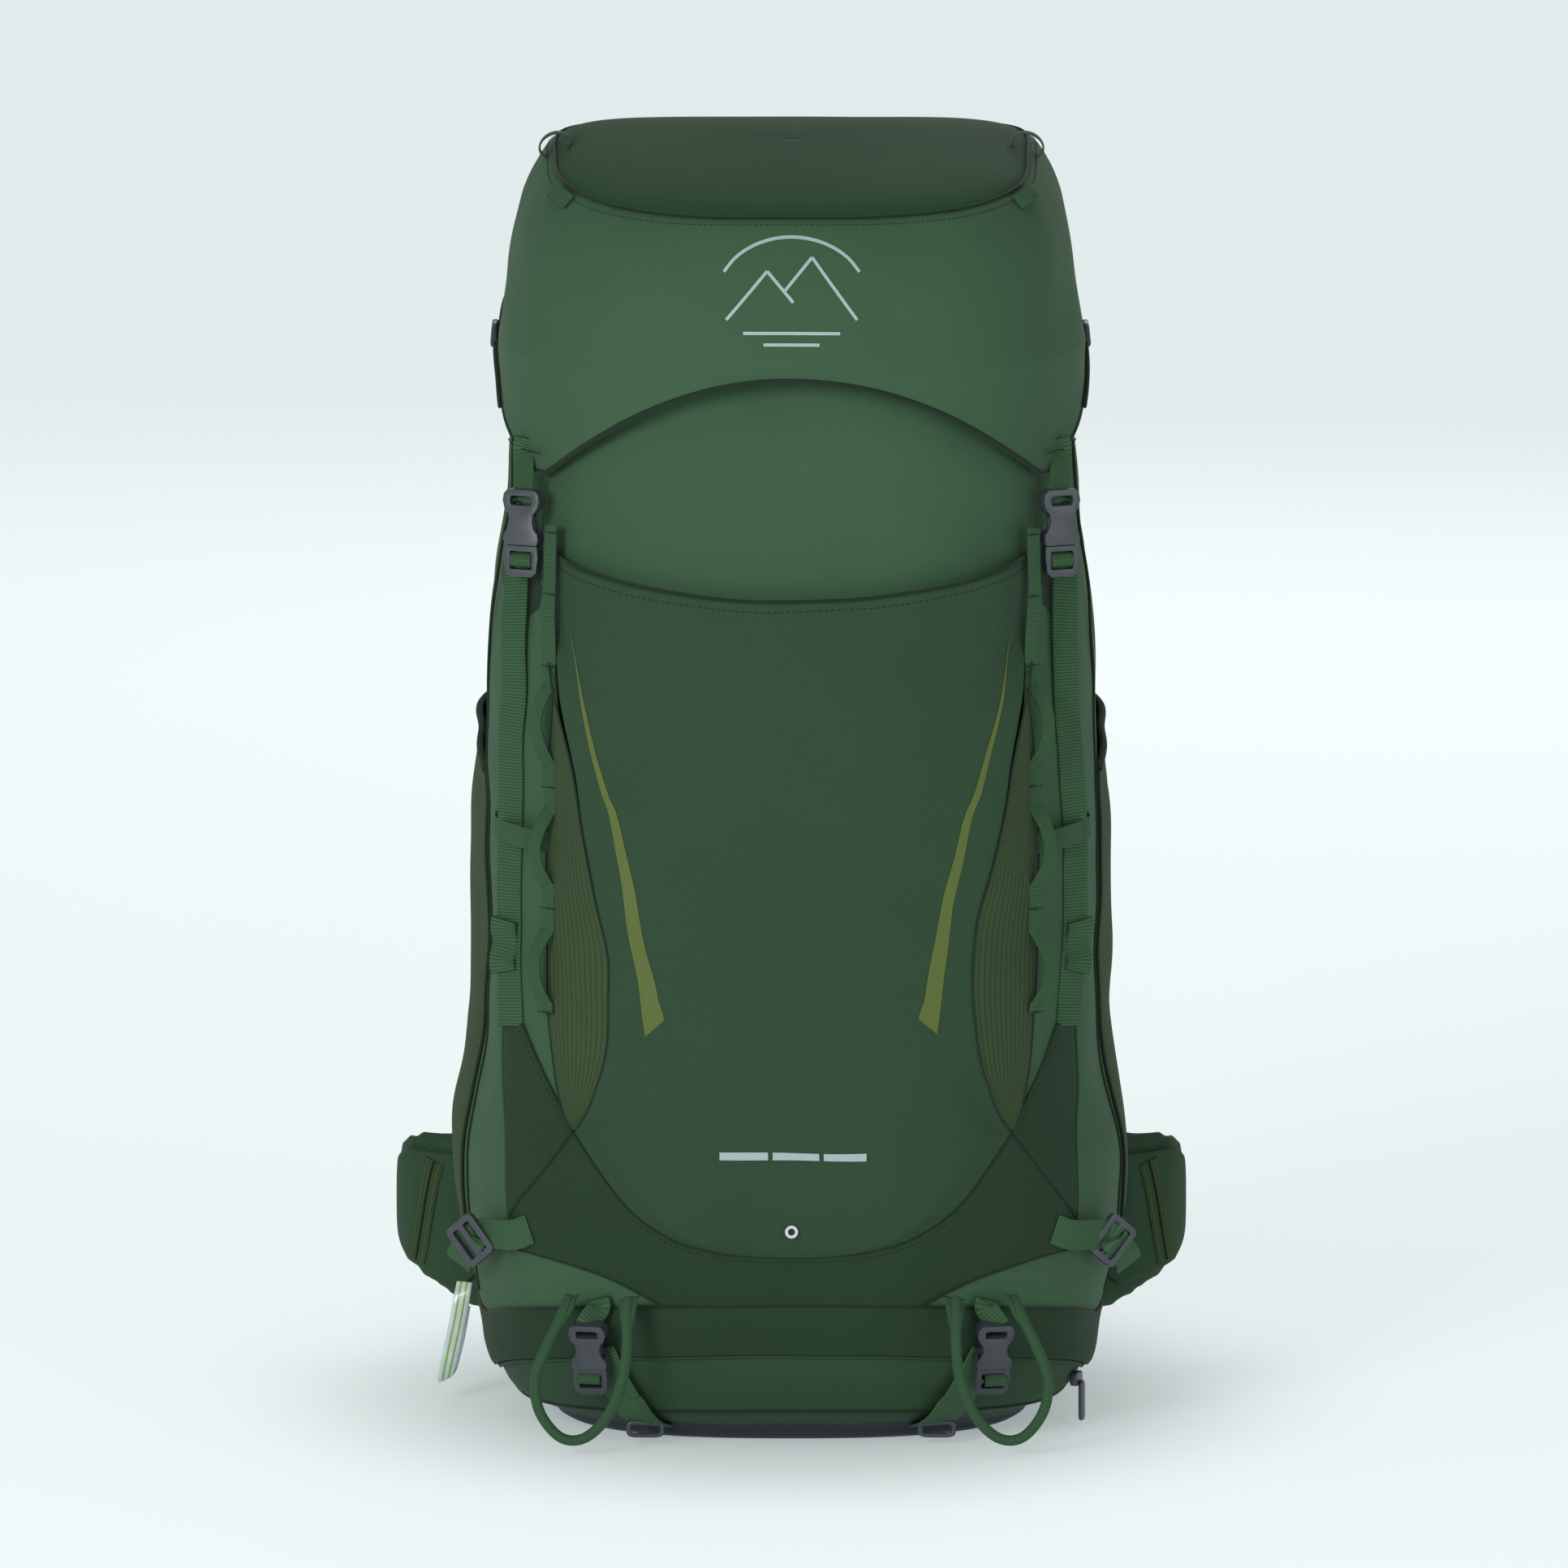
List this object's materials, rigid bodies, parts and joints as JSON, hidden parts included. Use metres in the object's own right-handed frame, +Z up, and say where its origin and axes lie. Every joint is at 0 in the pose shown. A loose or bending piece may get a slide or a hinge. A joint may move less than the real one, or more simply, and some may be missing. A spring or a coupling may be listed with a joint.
{
  "type": "hiking backpack",
  "caption": "Top-loading hiking backpack with a floating lid, stretch pockets, compression and pad straps, hip belt and sliding harness.",
  "frame": {"origin": "on the flat underside of the base, in the plane of symmetry, below the bag's widest level", "axes": "+Z up through the lid, front of the pack towards -Y, harness and hip belt towards +Y"},
  "size_m": [0.4282, 0.4153, 0.6938],
  "materials": {
    "pack_cloth": "recycled ripstop weave",
    "dark_cloth": "darker ripstop weave",
    "stretch_rib": "ribbed stretch knit",
    "webbing": "ribbed webbing",
    "buckle_plastic": "satin moulded acetal",
    "base_cloth": "coated base fabric",
    "eyelet_metal": "polished",
    "clear_strap": "translucent soft plastic",
    "air_mesh": "spacer mesh over foam",
    "frame_steel": "drawn wire",
    "sheet_plastic": "moulded sheet"
  },
  "bodies": {
    "pack": {"packbag": "pack_cloth", "collar": "dark_cloth", "base_panel": "base_cloth", "front_pocket": "pack_cloth", "base_zip_flap": "dark_cloth", "eyelet": "eyelet_metal", "pole_loop": "clear_strap", "frame_sheet": "sheet_plastic", "frame_wire": "frame_steel", "back_panel": "air_mesh", "lumbar_pad": "air_mesh", "haul_handle": "webbing", "pocket_gusset_left": "stretch_rib", "side_pocket_left": "stretch_rib", "side_strap_left": "webbing", "daisy_chain_left": "webbing", "compression_strap_left": "webbing", "ladder_lock_left": "buckle_plastic", "pad_socket_left": "buckle_plastic", "pad_strap_left": "webbing", "tool_loop_left": "webbing", "load_strap_left": "webbing", "pocket_gusset_right": "stretch_rib", "side_pocket_right": "stretch_rib", "side_strap_right": "webbing", "daisy_chain_right": "webbing", "compression_strap_right": "webbing", "ladder_lock_right": "buckle_plastic", "pad_socket_right": "buckle_plastic", "pad_strap_right": "webbing", "tool_loop_right": "webbing", "load_strap_right": "webbing"},
    "lid": {"lid_shell": "pack_cloth", "lid_floor": "dark_cloth", "lid_socket_left": "buckle_plastic", "lid_socket_right": "buckle_plastic", "lash_loop_left": "webbing", "lash_loop_right": "webbing"},
    "lid_plug_left": {"lid_plug_left": "buckle_plastic"},
    "lid_plug_right": {"lid_plug_right": "buckle_plastic"},
    "pad_plug_left": {"pad_plug_left": "buckle_plastic"},
    "pad_plug_right": {"pad_plug_right": "buckle_plastic"},
    "zip_slider": {"zip_slider": "buckle_plastic"},
    "zip_puller": {"zip_puller": "buckle_plastic"},
    "hip_left": {"hip_wing_left": "dark_cloth", "hip_pocket_left": "stretch_rib", "hip_strap_left": "webbing", "hip_socket": "buckle_plastic"},
    "hip_right": {"hip_wing_right": "dark_cloth", "hip_pocket_right": "stretch_rib", "hip_strap_right": "webbing", "hip_plug": "buckle_plastic"},
    "harness": {"harness_yoke": "air_mesh", "shoulder_strap_left": "air_mesh", "shoulder_strap_right": "air_mesh"},
    "sternum": {"sternum_strap_left": "webbing", "sternum_strap_right": "webbing", "sternum_socket": "buckle_plastic", "sternum_plug": "buckle_plastic"}
  },
  "joints": [
    {"name": "lid_hinge", "type": "hinge", "parent": "pack", "child": "lid", "pos_m": [0, 0.1125, 0.6], "axis": [-1, 0, 0], "range_deg": [0, 90]},
    {"name": "lid_plug_slide_left", "type": "slide", "parent": "pack", "child": "lid_plug_left", "axis": [-0.0083, -0.0186, -0.9998], "range_m": [0, 0.022]},
    {"name": "lid_plug_slide_right", "type": "slide", "parent": "pack", "child": "lid_plug_right", "axis": [0.0083, -0.0186, -0.9998], "range_m": [0, 0.022]},
    {"name": "pad_plug_slide_left", "type": "slide", "parent": "pack", "child": "pad_plug_left", "axis": [0.0686, 0.2753, -0.9589], "range_m": [0, 0.018]},
    {"name": "pad_plug_slide_right", "type": "slide", "parent": "pack", "child": "pad_plug_right", "axis": [-0.0686, 0.2753, -0.9589], "range_m": [0, 0.018]},
    {"name": "base_zip_slide", "type": "slide", "parent": "pack", "child": "zip_slider", "axis": [-0.3308, -0.9437, 0], "range_m": [0, 0.03]},
    {"name": "zip_pull_swing", "type": "hinge", "parent": "zip_slider", "child": "zip_puller", "pos_m": [0.15631, -0.0485, 0.02439], "axis": [-0.3308, -0.9437, 0], "range_deg": [0, 60]},
    {"name": "hip_swing_left", "type": "hinge", "parent": "pack", "child": "hip_left", "pos_m": [-0.104, 0.146, 0.08], "axis": [0, 0, 1], "range_deg": [0, 20]},
    {"name": "hip_swing_right", "type": "hinge", "parent": "pack", "child": "hip_right", "pos_m": [0.104, 0.146, 0.08], "axis": [0, 0, -1], "range_deg": [0, 20]},
    {"name": "torso_slide", "type": "slide", "parent": "pack", "child": "harness", "axis": [0, 0, 1], "range_m": [-0.045, 0.025]},
    {"name": "sternum_slide", "type": "slide", "parent": "harness", "child": "sternum", "axis": [0, 0.0748, 0.9972], "range_m": [-0.03, 0.03]}
  ]
}
